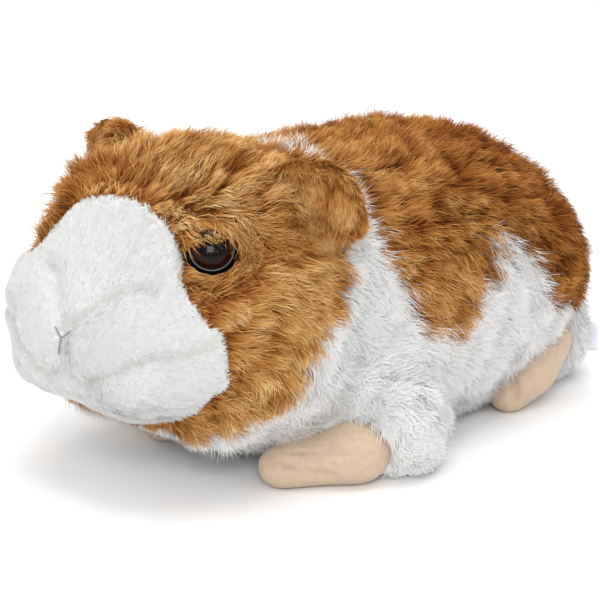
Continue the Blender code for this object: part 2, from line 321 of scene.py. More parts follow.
# %% Where each eye sits
# An eye is a turned piece, so the thinnest direction of its points is its axis.
FLANGE_RADIUS = 8.6 * MM
DOME_RADIUS = 6.9 * MM
DOME_HEIGHT = 6.7 * MM  # its top, from the flange's back


def eye_frame(node):
    """A matrix with its origin at the middle of the eye's back and +Z out of the head."""
    points = np.array([v.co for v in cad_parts[node].data.vertices])
    points = np.unique(points.round(6), axis=0)
    middle = points.mean(0)
    _, _, directions = np.linalg.svd(points - middle)
    axis = Vector(directions[2])
    if axis.y > 0:
        axis = -axis
    depth = (points - middle) @ np.array(axis)
    back = points[depth < depth.min() + 0.1 * MM]
    return Matrix.Translation(back.mean(0)) @ axis.to_track_quat("Z", "Y").to_matrix().to_4x4()


eye_frames = {side: eye_frame(f"eye_{side}") for side in SIDES}
for side, place in eye_frames.items():
    print(side, "eye at", [round(c / MM, 1) for c in place.translation], "mm")

# %% The joined and remeshed body
SKIN_VOXEL = 1.25 * MM
STUFFING_RADIUS, STUFFING_DEPTH = 13 * MM, 7 * MM  # the ball behind each eye


def remeshed(bm, voxel, rounds):
    """The outside of everything in a bmesh as one even surface, smoothed a few rounds."""
    body = add_object("body", mesh_from_bmesh("body", bm))
    remesh = body.modifiers.new("remesh", "REMESH")
    remesh.mode = "VOXEL"
    remesh.voxel_size = voxel
    smooth = body.modifiers.new("smooth", "SMOOTH")
    smooth.factor = 0.5
    smooth.iterations = rounds
    graph = bpy.context.evaluated_depsgraph_get()
    bm = bmesh.new()
    bm.from_mesh(bpy.data.meshes.new_from_object(body.evaluated_get(graph)))
    bpy.data.objects.remove(body)
    return bm


joined = bmesh.new()
for name in plush_nodes:
    node_mesh(joined, name)
for place in eye_frames.values():
    middle = Matrix.Translation(place @ Vector((0, 0, -STUFFING_DEPTH)))
    bmesh.ops.create_icosphere(joined, subdivisions=3, radius=STUFFING_RADIUS, matrix=middle)
skin_bm = remeshed(joined, SKIN_VOXEL, 8)
print("skin:", len(skin_bm.verts), "points")

# %% The depth of the pile at every point of the skin


def node_tree_with_depths():
    """A search tree of all plush nodes, and the pile depth of each of its triangles."""
    points, triangles, depths = [], [], []
    for name in plush_nodes:
        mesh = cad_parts[name].data
        start = len(points)
        points += [v.co.copy() for v in mesh.vertices]
        triangles += [[start + i for i in p.vertices] for p in mesh.polygons]
        depths += [PILE_DEPTH[kind_of(name)] * MM] * len(mesh.polygons)
    return BVHTree.FromPolygons(points, triangles), np.array(depths)


def spread(values, bm, rounds):
    """Evens values out over a mesh, each point with its neighbours."""
    edges = np.array([[v.index for v in e.verts] for e in bm.edges])
    count = np.bincount(edges.ravel(), minlength=len(values))
    for _ in range(rounds):
        total = np.bincount(edges[:, 0], values[edges[:, 1]], len(values))
        total += np.bincount(edges[:, 1], values[edges[:, 0]], len(values))
        values = 0.5 * values + 0.5 * total / count
    return values


def skin_depths(bm):
    """The nearest node's pile depth, less on the face, and least on the muzzle and the belly."""
    tree, depths = node_tree_with_depths()
    points = np.array([v.co for v in bm.verts])
    normals = np.array([v.normal for v in bm.verts])
    nearest = np.array([tree.find_nearest(v.co)[2] for v in bm.verts])
    depth = depths[nearest]
    ahead = ahead_of_muzzle_edge(points)
    rise = np.clip(-ahead / FACE_RISE, 0, 1)
    on_face = points[:, 1] < FACE_END
    depth[on_face] = np.minimum(depth, MM * np.interp(rise, (0, 1), FACE_PILE))[on_face]
    depth[ahead > 0] = MUZZLE_PILE * MM
    depth[(normals[:, 2] < -0.7) & (points[:, 2] < 3 * MM)] = BELLY_PILE * MM
    return spread(depth, bm, 6)


skin_bm.verts.index_update()
skin_bm.normal_update()
pile_depth = skin_depths(skin_bm)
print("pile depth from", round(pile_depth.min() / MM, 1), "to", round(pile_depth.max() / MM, 1), "mm")

# %% Letting the skin in
INSET_STEPS = 6
THIN_SHARE = 0.22  # of the local thickness, the most that either side is let in


def let_in(bm, depth):
    tree = BVHTree.FromBMesh(bm)
    for v in bm.verts:
        thickness = tree.ray_cast(v.co - v.normal * 0.2 * MM, -v.normal)[3]
        if thickness is not None:
            depth[v.index] = min(depth[v.index], THIN_SHARE * thickness)
    depth = spread(depth, bm, 3)
    ears = on_ears(np.array([v.co for v in bm.verts]))
    thick = [v for v, on_ear in zip(bm.verts, ears) if not on_ear]
    for _ in range(INSET_STEPS):
        bm.normal_update()
        for v in bm.verts:
            v.co -= v.normal * float(depth[v.index]) / INSET_STEPS
        bmesh.ops.smooth_vert(
            bm, verts=thick, factor=0.35, use_axis_x=True, use_axis_y=True, use_axis_z=True
        )
    bm.normal_update()


body_tree = BVHTree.FromBMesh(skin_bm)
let_in(skin_bm, pile_depth)
pile_depth = np.array([body_tree.find_nearest(v.co)[3] for v in skin_bm.verts])
low, middle, high = np.percentile(pile_depth, (5, 50, 95)) / MM
print(f"from skin to outline: mostly {low:.1f} to {high:.1f} mm, in the middle {middle:.1f} mm")

# %% [markdown]
# ## Seams and folds in the skin
# Sewn cloth dips along its seams. The muzzle has two pads with a bridge between them: a short
# seam runs up from the mouth, splits at the nose and climbs either side of the bridge, and a
# crease runs back from the mouth to each cheek. A groove is cut by moving points inwards, the
# more the nearer they are to the seam's line. The stuffing has settled too, in soft dents and
# bumps, and the cloth has to lie flat round the eyes.

# %% The seams and the dents
SEAMS = {  # corners, and the groove's depth and half width, in mm, for the left side
    "nose": ([(0, -115, 44), (0, -113, 55)], 2.0, 2.2),
    "bridge": ([(0, -113, 55), (8, -107, 63), (14, -102, 68), (23, -99, 70)], 1.3, 2.6),
    "mouth": ([(0, -115, 44), (8, -113, 40), (21, -111, 46), (30, -106, 51), (40, -101, 53),
               (47, -94, 55)], 1.6, 2.2),
    "chin": ([(5, -109, 30), (16, -108, 33), (27, -104, 35)], 1.3, 2.4)}
SLUMPS = [  # middle, radius and push outwards, in mm
    ((-42, -101, 56), 14, 2.2), ((-40, -102, 33), 11, -2.0), ((14, -40, 104), 16, -1.8),
    ((2, -16, 98), 14, -1.2), ((38, 67, 84), 16, -1.8), ((52, 70, 71), 14, -1.6),
    ((55, 85, 50), 14, 1.8), ((48, -55, 94), 9, 2.2), ((-34, -51, 102), 7, 3.5),
    ((-50, -49, 106), 5, -1.5)]
SEAT, SEAT_SLOPE = -0.2 * MM, 0.7  # the cloth's height under a flange, and its slope around it
LOWEST_CLOTH = 0.6 * MM


def distance_to_line(points, corners):
    """How far each point is from a line through the corners."""
    best = np.full(len(points), 1.0)
    for start, end in zip(corners[:-1], corners[1:]):
        along = end - start
        share = np.clip((points - start) @ along / (along @ along), 0, 1)
        best = np.minimum(best, np.linalg.norm(points - start - share[:, None] * along, axis=1))
    return best


def near_lines(points, lines, width):
    """1 on any of the lines or their mirror images, fading to 0 over the width."""
    near = np.zeros(len(points))
    for corners in lines:
        for side in SIDES.values():
            line = np.array(corners, float) * (side * MM, MM, MM)
            near = np.maximum(near, np.exp(-(distance_to_line(points, line) / width) ** 2))
    return near


# %% Pushing the cloth about


def cut_grooves(bm, seams):
    bm.normal_update()
    points = np.array([v.co for v in bm.verts])
    depths = [deep * MM * near_lines(points, [line], half * MM) for line, deep, half in seams]
    for v, depth in zip(bm.verts, np.max(depths, axis=0)):
        v.co -= v.normal * float(depth)


def slump(bm):
    """The stuffing isn't even: it pushes the cloth out in some places and sinks in others."""
    points = np.array([v.co for v in bm.verts])
    for middle, radius, push in SLUMPS:
        far = np.linalg.norm(points - np.array(middle) * MM, axis=1) / (radius * MM)
        for i in np.flatnonzero(far < 2.5):
            v = bm.verts[i]
            v.co += v.normal * float(push * MM * math.exp(-far[i] ** 2))


def seat_eyes(bm):
    """Presses the cloth flat under each eye's flange and slopes it up around it."""
    for place in eye_frames.values():
        inverse = place.inverted()
        for v in bm.verts:
            local = inverse @ v.co
            radius = local.xy.length
            if max(radius, abs(local.z)) > 2 * FLANGE_RADIUS:
                continue
            highest = SEAT + SEAT_SLOPE * max(0, radius - 1.05 * FLANGE_RADIUS)
            if local.z > highest or radius < FLANGE_RADIUS:
                local.z = highest if radius > FLANGE_RADIUS else SEAT
                v.co = place @ local


skin_bm.verts.ensure_lookup_table()
slump(skin_bm)
cut_grooves(skin_bm, SEAMS.values())
seat_eyes(skin_bm)
for v in skin_bm.verts:
    v.co.z = max(v.co.z, LOWEST_CLOTH)
skin_bm.normal_update()
print("skin reaches", [round(max(v.co[k] for v in skin_bm.verts) / MM) for k in range(3)], "mm")

# %% [markdown]
# ## The skin as a piece, and its unwrap
# The export bakes each finish to a picture, so skin and pile need a map that is named OFBake.
# Smart Project cuts the skin into patches by the way they face and lays them side by side.
# The pile takes its places on the map from the point of skin that it grows from.

# %% The skin
PATCH_ANGLE = math.radians(70)  # how far a patch may bend
PATCH_MARGIN = 0.002

bmesh.ops.triangulate(skin_bm, faces=skin_bm.faces)
skin_mesh = mesh_from_bmesh("backing_cloth", skin_bm)
skin_finish, skin_tree, skin_shader = new_finish("backing_cloth", 0.95, 0.1)
skin = add_piece(skin_mesh, skin_finish)
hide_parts(*skin_nodes)

for other in bpy.context.selected_objects:
    other.select_set(False)
bpy.context.view_layer.objects.active = skin
skin.select_set(True)
bpy.ops.object.mode_set(mode="EDIT")
bpy.ops.mesh.select_all(action="SELECT")
bpy.ops.uv.smart_project(angle_limit=PATCH_ANGLE, island_margin=PATCH_MARGIN)
bpy.ops.object.mode_set(mode="OBJECT")
skin_mesh.uv_layers.active.name = "OFBake"
print("skin:", len(skin_mesh.polygons), "triangles")

# %% Reading and writing many values at once


def write_rows(items, key, values, kind=np.float32):
    """Sets one property of all items from an array of any shape."""
    items.foreach_set(key, np.asarray(values, kind).ravel())


def add_attribute(mesh, name, values):
    write_rows(mesh.attributes.new(name, "FLOAT", "POINT").data, "value", values)


def read_rows(items, key, width):
    """One property of all items, such as points or normals, a row for each."""
    values = np.empty(len(items) * width, np.float32)
    items.foreach_get(key, values)
    return values.reshape(-1, width).astype(float)

# %% [markdown]
# ## Growing the pile
# Particle hair doesn't leave Blender, so each strand is a blade: a strip of two or three segments
# that tapers to a point, a quarter of a millimetre wide. Seven or so share a tuft, their tips
# drawn together, and some thirty tufts share a lock, which bends them towards its own tip. The
# partings between locks make plush look brushed and handled. All strands are worked out at once
# with numpy, as loops over so many blades would take minutes.

# %% Roots scattered over the skin
skin_points = read_rows(skin_mesh.vertices, "co", 3)
skin_normals = read_rows(skin_mesh.vertex_normals, "vector", 3)
add_attribute(skin_mesh, "caramel", is_caramel(skin_points + skin_normals * pile_depth[:, None]))
corner_ids = np.empty(len(skin_mesh.loops), np.int32)
skin_mesh.loops.foreach_get("vertex_index", corner_ids)
corner_ids = corner_ids.reshape(-1, 3)
corner_uv = read_rows(skin_mesh.uv_layers["OFBake"].uv, "vector", 2).reshape(-1, 3, 2)
side_1 = skin_points[corner_ids[:, 1]] - skin_points[corner_ids[:, 0]]
side_2 = skin_points[corner_ids[:, 2]] - skin_points[corner_ids[:, 0]]
triangle_area = np.linalg.norm(np.cross(side_1, side_2), axis=1) / 2


def unit(vectors):
    return vectors / np.maximum(np.linalg.norm(vectors, axis=-1, keepdims=True), 1e-12)


def scatter(per_square_mm, rng):
    """Roots at random over the whole skin: place, normal, pile depth and place on the map."""
    count = int(per_square_mm * triangle_area.sum() / MM**2)
    picked = rng.choice(len(triangle_area), size=count, p=triangle_area / triangle_area.sum())
    share = rng.dirichlet((1, 1, 1), count)[:, :, None]
    ids = corner_ids[picked]
    return {
        "place": (skin_points[ids] * share).sum(1),
        "normal": unit((skin_normals[ids] * share).sum(1)),
        "depth": (pile_depth[ids] * share[..., 0]).sum(1),
        "uv": (corner_uv[picked] * share).sum(1),
    }


def only(roots, keep):
    return {key: values[keep] for key, values in roots.items()}


print("skin area:", round(triangle_area.sum() * 1e4), "square cm")

# %% Which places stay bare
# No pile grows in a paw or under an eye's flange.
paw_nodes = [n for n in plush_nodes if "paw" in n]
paw_triangles = bmesh.new()
for name in paw_nodes:
    node_mesh(paw_triangles, name)
paw_tree = BVHTree.FromBMesh(paw_triangles)
paw_triangles.free()
PAW_REACH = 12 * MM
PAW_ZONE = 40 * MM  # higher than this no paw is near
PAW_GAP = 0.4 * MM
EYE_PLATE = (0.95 * FLANGE_RADIUS, 6 * MM)  # the bare place's radius and half depth


def height_over_paws(points):
    """Distance from the nearest paw, negative inside it; far away it is just PAW_REACH."""
    heights = np.full(len(points), PAW_REACH)
    for i in np.flatnonzero(points[:, 2] < PAW_ZONE):
        place, normal, _, distance = paw_tree.find_nearest(Vector(points[i]), PAW_REACH)
        if place is not None:
            inside = (Vector(points[i]) - place).dot(normal) < 0
            heights[i] = -distance if inside else distance
    return heights


def eye_local(points, place):
    """Points in an eye's own axes, Y up and Z out of the head, and their distance from Z."""
    inverse = np.array(place.inverted())
    local = points @ inverse[:3, :3].T + inverse[:3, 3]
    return local, np.hypot(local[:, 0], local[:, 1])


def backward(place):
    """1 where an eye's own X points to the tail, and -1 where it points to the nose."""
    return math.copysign(1, place[1][0])


def bare(points, over_paws):
    covered = over_paws < PAW_GAP
    for place in eye_frames.values():
        local, radius = eye_local(points, place)
        covered |= (radius < EYE_PLATE[0]) & (abs(local[:, 2]) < EYE_PLATE[1])
    return covered


# %% Round the eyes and on the far cheek
# Over each eye the pile hangs as a brow, and between an eye and the muzzle it stands up. Each
# share here is 1 in its own place and fades to 0 around it.
BROW_REACH = 17 * MM


def turned(vectors, normals, angles):
    """Tangent vectors turned in their own plane."""
    cosine, sine = np.cos(angles)[:, None], np.sin(angles)[:, None]
    return vectors * cosine + np.cross(normals, vectors) * sine


def over_eyes(points):
    """How much a point is on a brow, and which way the brow hangs there."""
    share, hang = np.zeros(len(points)), np.zeros((len(points), 3))
    for place in eye_frames.values():
        local, radius = eye_local(points, place)
        axes = np.array(place)[:3, :3]
        back = axes[:, 0] * backward(place)
        near = ease(radius, BROW_REACH, 0.6 * BROW_REACH) * ease(local[:, 1], -1 * MM, 6 * MM)
        near *= abs(local[:, 2]) < 15 * MM
        share = np.maximum(share, near)
        hang += near[:, None] * (0.75 * back - axes[:, 1])
    return share[:, None], hang


def before_eyes(points):
    """How much a point is between an eye and the muzzle."""
    share = np.zeros(len(points))
    for place in eye_frames.values():
        local, radius = eye_local(points, place)
        forward = local[:, 0] * -backward(place)
        near = ease(radius, 17 * MM, 11 * MM)
        share = np.maximum(share, near * ease(forward, 0, 5 * MM) * (abs(local[:, 2]) < 12 * MM))
    return share


def far_cheek(points):
    """How much a point is on the right cheek behind the muzzle, where the pile is ruffled up."""
    x, _, z = points.T / MM
    behind = -ahead_of_muzzle_edge(points) / MM
    return ease(x, -22, -34) * ease(z, 64, 84) * ease(behind, -1, 1) * ease(behind, 26, 14)


# %% The lie of the pile
# Plush is brushed from nose to tail, and its own weight turns it down on the flanks. The
# forehead is combed over to the left. On top of that, handling leaves swirls of every size.
NOSE_TIP = np.array((0, -113, 54)) * MM


def lie_of_pile(points, normals):
    x, y, z = points.T / MM
    out = np.clip(x / 25, -1, 1)
    low = ease(z, 100, 62)
    tail = ease(y, 70, 110)
    face = ease(y, -45, -70)
    combed = 0.55 * ease(x, -40, -8) * face * (1 - low)
    down = 0.12 + low * (1.2 - 0.55 * face) + 0.4 * face * ease(z, 50, 25) + 1.2 * tail
    lie = np.stack([0.35 * out + combed, 1 - 0.7 * tail, -down], 1)
    ahead = ahead_of_muzzle_edge(points)[:, None]
    share, hang = (values * (ahead < 0) for values in over_eyes(points))
    lie = unit(lie) * (1 - share) + hang
    ear = on_ears(points)[:, None]
    lie = lie * (1 - ear) + np.stack([0.4 * out, 0.1 + 0 * y, -0.9 + 0 * z], 1) * ear
    muzzle = ease(ahead, -2 * MM, 3 * MM)
    lie = lie * (1 - muzzle) + unit(points - NOSE_TIP) * muzzle
    lie = unit(lie - normals * (lie * normals).sum(1, keepdims=True))
    broad, fine = smooth_noise(points, 28 * MM, 3)[:, 0], smooth_noise(points, 9 * MM, 4)[:, 1]
    tame = (1 - 0.4 * face) * (1 - 0.85 * muzzle[:, 0]) * (1 - 0.6 * share[:, 0])
    return unit(turned(lie, normals, (1.1 * broad + 0.9 * fine) * tame))


# %% Lengths and partings
LENGTH_OF_DEPTH = (  # how long a strand is where the pile is so deep, both in mm
    [0.8, 1.4, 2.8, 4.5, 6.0, 7.5], [2.2, 3.0, 5.0, 7.4, 9.6, 11.0])
LEAST_DEPTH = {"brow": 5.5, "before_eye": 4.0, "ear": 3.2, "crest": 6}  # mm
PARTINGS = [  # lines on the left of the head where the pile parts: behind the eye, under the ear
    [(45.5, -79.5, 78.4), (47, -75.5, 79.8), (49, -71.5, 78.8), (51.5, -67, 77.4), (53, -63, 76)],
    [(48.5, -69, 83.5), (49.5, -64, 82), (51, -60, 81.5), (53.5, -53, 83.5)],
    [(47.5, -60, 86.5), (49, -55, 87.5), (53, -53, 90)],
    [(52.5, -62, 77.5), (52, -52, 77.5)]]
PARTING_WIDTH = 2 * MM


def parted(points):
    """How deep a point lies in a parting, from 0 to 1: the drawn ones and ones left by handling."""
    streak, where, _ = smooth_noise(points * (1, 0.5, 1), 9 * MM, 8).T
    chance = 0.6 * np.exp(-(streak / 0.07) ** 2) * ease(where, 0, 0.2)
    return np.maximum(near_lines(points, PARTINGS, PARTING_WIDTH), chance)


def strand_length(depth):
    return np.interp(depth / MM, *LENGTH_OF_DEPTH) * MM


# %% Grooming the roots


def least_depths(place, normal, off_muzzle, brow, ear):
    """How deep the pile is at least: on a brow, before an eye, on an ear and along its top."""
    before_eye = before_eyes(place) * off_muzzle * (1 + 0.7 * (place[:, 0] < 0))
    inward = -np.sign(place[:, 0]) * normal[:, 0]
    crest = ear * ease(inward, 0.2, 0.6) * (place[:, 2] > EAR_UP)
    shares = {"brow": brow, "before_eye": before_eye, "ear": ear, "crest": crest}
    return MM * np.max([LEAST_DEPTH[key] * share for key, share in shares.items()], axis=0)


def groom(roots, stray, rng):
    """Gives each root the way its pile lies, and its own lift and stretch."""
    place, normal, count = roots["place"], roots["normal"], len(roots["depth"])
    lie = turned(lie_of_pile(place, normal), normal, rng.normal(0, stray, count))
    outer = place + normal * roots["depth"][:, None]
    off_muzzle = ahead_of_muzzle_edge(outer) < 0
    brow = over_eyes(place)[0][:, 0] * off_muzzle
    ear = on_ears(place)
    depth = np.maximum(roots["depth"], least_depths(place, normal, off_muzzle, brow, ear))
    parting = 0.6 * near_lines(outer, [line for line, _, _ in SEAMS.values()], 1.8 * MM)
    fluff = 0.28 * smooth_noise(place, 11 * MM, 6)[:, 0] * (1 - ear)
    long_pile = ease(depth, 1.5 * MM, 4 * MM)
    upright = 0.13 * ease(normal[:, 2], 0, 0.5) * (1 - ear) + 1.1 * far_cheek(place)
    lift = rng.uniform(0.85, 1.2, count) * (1 + (fluff + upright) * long_pile)
    stretch = rng.uniform(0.75, 1.1, count) * (1 + 0.9 * brow) * (1 - 0.4 * parting)
    return roots | {
        "lie": lie, "outer": outer, "depth": depth, "parting": parting,
        "lift": lift * (1 - 0.6 * parting), "stretch": stretch * (1 - 0.12 * ear)}


def centre_lines(roots, steps):
    """The line that each root's strand would take by itself, as points from root to tip."""
    t = np.linspace(0, 1, steps)[None, :, None]
    rise = roots["depth"] * roots["lift"]
    reach = np.sqrt(np.maximum(strand_length(roots["depth"]) ** 2 - rise**2, 1e-9)) * roots["stretch"]
    along = roots["lie"][:, None] * reach[:, None, None] * t**1.25
    outward = roots["normal"][:, None] * rise[:, None, None]
    return roots["place"][:, None] + along + outward * (1 - (1 - t) ** 1.8)


# %% Locks and tufts
LOCK_RADIUS = 4.5 * MM
SIDES_APART = 6 * MM  # added along the normals, to keep an ear's two sides apart


def make_locks(per_square_mm, seed):
    rng = np.random.default_rng(seed)
    locks = groom(scatter(per_square_mm, rng), 0.35, rng)
    locks["pull"] = rng.uniform(0.15, 0.6, len(locks["depth"]))
    return locks


def make_tufts(per_square_mm, seed):
    rng = np.random.default_rng(seed)
    tufts = scatter(per_square_mm, rng)
    tufts["over_paws"] = height_over_paws(tufts["place"])
    tufts = groom(only(tufts, ~bare(tufts["place"], tufts["over_paws"])), 0.28, rng)
    tufts["tint"] = rng.random(len(tufts["depth"]))
    return tufts


def nearest_lock(roots, locks):
    """Each root's lock and how far its heart is."""
    tree = kdtree.KDTree(len(locks["place"]))
    for i, key in enumerate(locks["place"] + SIDES_APART * locks["normal"]):
        tree.insert(key, i)
    tree.balance()
    found = [tree.find(key)[1:] for key in roots["place"] + SIDES_APART * roots["normal"]]
    index, distance = np.array(found).T
    return index.astype(int), distance


# %% Strands


def grow_strands(tufts, tuft, look, rng):
    """All strands' lines and normals, and how far each is from its lock's heart."""
    steps, sway = look["steps"], look["sway"]
    lock, far = nearest_lock(tufts, locks)
    apart = np.clip(far / LOCK_RADIUS, 0, 1.3)
    tufts["lift"] = tufts["lift"] * (1.1 - 0.3 * apart**2)
    line = centre_lines(tufts, steps)[tuft]
    heart = centre_lines(only(locks, lock), steps)[tuft]
    t = np.linspace(0, 1, steps)[None, :, None]
    normal, lie = tufts["normal"][tuft], tufts["lie"][tuft]
    across = np.cross(normal, lie)
    count = len(normal)
    size = look["spread"] * MM * np.sqrt(rng.random((count, 1)))
    angle = rng.uniform(0, math.tau, (count, 1))
    offset = size * (np.cos(angle) * lie + np.sin(angle) * across)
    line = line[:, :1] + (line - line[:, :1]) * rng.uniform(0.7, 1.12, (count, 1, 1))
    line += offset[:, None] * (1 - 0.35 * t)
    reach = np.linalg.norm(line[:, -1] - line[:, 0], axis=1)[:, None, None]
    aside = rng.normal(0, sway, (count, 1, 1)) * t + rng.normal(0, sway, (count, 1, 1)) * t**2
    line += across[:, None] * aside * reach
    line += normal[:, None] * rng.normal(0, 0.06, (count, 1, 1)) * t * reach
    pull = look["pull"] * locks["pull"][lock][tuft][:, None, None]
    return line + (heart - line) * pull * t**1.5, normal, apart[tuft]


# %% Strands and eyes
PASSING_RADIUS = 0.97 * FLANGE_RADIUS  # how near to an eye's axis strands may pass by


def part_round_eyes(line):
    """Strands rooted over an eye hang in front of its dome, and the others pass it by. On the
    right, all the pile has been brushed over the eye."""
    for side, place in eye_frames.items():
        local, radius = eye_local(line.reshape(-1, 3), place)
        local, radius = local.reshape(line.shape), radius.reshape(line.shape[:2])
        behind = local[:, 0, 0] * backward(place)
        brow = ((local[:, 0, 1] > 2 * MM) & (behind < 5 * MM) | (side == "right"))[:, None]
        near = abs(local[..., 2]) < 14 * MM
        share = np.clip(radius / DOME_RADIUS, 0, 1)
        dome = DOME_HEIGHT * np.sqrt(1 - share**2 * 0.9)
        over = brow & near & (radius < 1.3 * DOME_RADIUS)
        local[..., 2] = np.where(over, np.maximum(local[..., 2], dome + 0.3 * MM), local[..., 2])
        inside = ~brow & near & (radius < PASSING_RADIUS)
        scale = np.where(inside, PASSING_RADIUS / np.maximum(radius, 0.5 * MM), 1)
        local[..., :2] *= scale[..., None]
        matrix = np.array(place)
        moved = local @ matrix[:3, :3].T + matrix[:3, 3]
        line = np.where((over | inside)[..., None], moved, line)
    return line


# %% Blades of mesh from the strands' lines
# A blade is a narrow ribbon that ends in a point. Its normals lean towards the skin's, as light
# that passes through real pile evens out from strand to strand.
PATCH = 0.003  # how wide a tuft's patch is on the map
TAPER = {4: (1, 0.95, 0.65), 3: (1, 0.7)}  # a blade's widths from its root on, by its points


def blade_piece(name, strands, look, finish):
    """One piece of blades from the strands' lines, normals, widths, uvs and values."""
    line, normal, even = strands["line"], strands["normal"][:, None], look["even"]
    count, steps, _ = line.shape
    ahead = unit(np.gradient(line, axis=1))
    across = unit(np.cross(ahead, normal))
    roll = np.random.default_rng(count).normal(0, look["roll"], (count, 1, 1))
    across = across * np.cos(roll) + np.cross(ahead, across) * np.sin(roll)
    facing = unit(np.cross(across, ahead)) * (1 - even) + normal * even
    width = strands["width"][:, None, None]
    half = across[:, :-1] * (width / 2) * np.array(TAPER[steps])[None, :, None]
    pairs = np.stack([line[:, :-1] - half, line[:, :-1] + half], 2).reshape(count, -1, 3)
    points = np.concatenate([pairs, line[:, -1:]], 1)
    facing = np.concatenate([np.repeat(facing[:, :-1], 2, axis=1), facing[:, -1:]], 1)
    per_blade = points.shape[1]
    start = (np.arange(count) * per_blade)[:, None]
    quads = np.array([[2 * k, 2 * k + 1, 2 * k + 3, 2 * k + 2] for k in range(steps - 2)]).ravel()
    corners = (start + np.append(quads, [per_blade - 3, per_blade - 2, per_blade - 1])).ravel()
    totals = np.tile([4] * (steps - 2) + [3], count)
    mesh = bpy.data.meshes.new(name)
    mesh.vertices.add(count * per_blade)
    write_rows(mesh.vertices, "co", points)
    mesh.loops.add(len(corners))
    write_rows(mesh.loops, "vertex_index", corners, np.int32)
    mesh.polygons.add(len(totals))
    write_rows(mesh.polygons, "loop_start", np.append(0, np.cumsum(totals)[:-1]), np.int32)
    mesh.update(calc_edges=True)
    mesh.shade_smooth()
    free_normals = mesh.attributes.new("custom_normal", "FLOAT_VECTOR", "POINT")
    write_rows(free_normals.data, "vector", unit(facing))
    along = np.append(np.repeat(np.linspace(0, 1, steps)[:-1], 2), 1)
    add_attribute(mesh, "along", np.tile(along, count))
    for key in ("tint", "shade", "blush"):
        add_attribute(mesh, key, np.repeat(strands[key], per_blade))
    sideways = np.append(np.tile([-0.5, 0.5], steps - 1), 0)
    patch = np.stack([sideways * 0.15, along - 0.5], 1) * PATCH
    point_uv = (strands["uv"][:, None] + patch).reshape(-1, 2)
    write_rows(mesh.uv_layers.new(name="OFBake").uv, "vector", point_uv[corners])
    return add_piece(mesh, finish)


# %% A pile in a few pieces
MOST_TRIANGLES = 190000  # in a piece
PARTING_SINK = 2 * MM
SEAM_SHADE, PARTING_SHADE = 3, 4  # how much painted shade darkens strands on a seam and in a parting
PAW_SHADE_REACH = (8 * MM, 0.5 * MM)  # from a paw, where its warm painted shade begins to show and is full
SLEEVE_PLACE, SLEEVE_REACH = -20 * MM, 24 * MM  # the front legs', whose pile has no painted shade from the paws


def add_pile(name, tufts, finish, seed):
    """Grows the tufts' strands and puts them in as many pieces as the triangle limit asks."""
    rng = np.random.default_rng(seed)
    look = dict(zip(LOOK_KEYS, LOOKS[name]))
    per_tuft, steps = look["strands"], look["steps"]
    tuft = np.repeat(np.arange(len(tufts["depth"])), per_tuft)  # which one each strand is in
    count = len(tuft)
    line, normal, apart = grow_strands(tufts, tuft, look, rng)
    line = part_round_eyes(line)
    line[..., 2] = np.maximum(line[..., 2], rng.uniform(0.1, 0.6, (count, 1)) * MM)
    width = look["width"] * MM * rng.uniform(0.7, 1.25, count)
    tint = np.clip(0.55 * tufts["tint"][tuft] + 0.45 * rng.random(count), 0, 1)
    # Painted shade: strands darker towards a lock's edge, along a seam and in a parting.
    shade = apart + SEAM_SHADE * tufts["parting"][tuft]
    if look["partings"]:
        deep = parted(line[:, steps // 2])
        sink = (normal * deep[:, None])[:, None] * PARTING_SINK
        line -= sink * np.linspace(0, 1, steps)[:, None]
        shade += PARTING_SHADE * deep
    # Warm painted shade in the crease where the pile meets a paw, left off the front legs.
    on_sleeve = abs(tufts["place"][:, 1] - SLEEVE_PLACE) <= SLEEVE_REACH
    blush = (ease(tufts["over_paws"], *PAW_SHADE_REACH) * ~on_sleeve)[tuft]
    uv = tufts["uv"][tuft]
    column = (np.arange(per_tuft) + 0.5) / per_tuft - 0.5
    uv[:, 0] += np.tile(column, len(tufts["uv"])) * PATCH * 0.85
    triangles = 2 * steps - 3
    parts = math.ceil(count * triangles / MOST_TRIANGLES)
    strands = {"line": line, "normal": normal, "width": width, "uv": uv, "tint": tint,
               "shade": shade, "blush": blush}
    for part in range(parts):
        some = slice(part * count // parts, (part + 1) * count // parts)
        blade_piece(f"{name}_{part + 1}", only(strands, some), look, finish)
    print(f"{name}: {count} strands, {count * triangles} triangles, {parts} pieces")


# %% [markdown]
# ## Finishes for skin and pile
# A strand of plush is darker and redder at its root than at its tip, and the ramps add painted
# shade there, where light doesn't reach. Strands differ a little too, and so do whole patches of
# the coat. White pile does the same between warm grey and white, its root also painted shade.

# %% Colours of the pile
# Stops of a ramp: its place, and the colour in linear RGB. The low stops are partly painted shade.
CARAMEL = [(0.0, (0.13, 0.028, 0.004)), (0.35, (0.34, 0.118, 0.022)), (0.7, (0.57, 0.29, 0.08)),
           (1.0, (0.79, 0.56, 0.275))]
WHITE = [(0.0, (0.79, 0.78, 0.765)), (0.4, (0.84, 0.835, 0.825)), (1.0, (0.87, 0.87, 0.86))]
SHORT_WHITE = [(0.0, (0.60, 0.595, 0.58)), (0.5, (0.715, 0.715, 0.705)), (1.0, (0.755, 0.755, 0.75))]
BACKING = [(0.3, (0.82, 0.81, 0.79)), (0.7, (0.24, 0.09, 0.02))]
# Warm painted shade where the pile meets a paw, and how strongly it shows.
PAW_SHADE, PAW_SHADE_SHARE = (0.50, 0.29, 0.19), 0.6
PATCH_SCALE = 60  # of the noise that tints whole patches
SHOULDER, RUMP = -0.05, 0.08  # where painted shade begins to darken the pile towards the rear, and where it is full


def read(tree, name):
    return add_node(tree, "ShaderNodeAttribute", attribute_name=name).outputs["Fac"]


def weighed(tree, parts, base):
    """base plus each (output, weight) pair."""
    total = None
    for output, weight in parts:
        values = [(1, weight), (2, base)]
        term = add_node(tree, "ShaderNodeMath", [(0, output)], values, operation="MULTIPLY_ADD")
        if total is not None:
            tree.links.new(total, term.inputs[2])
        total = term.outputs[0]
    return total


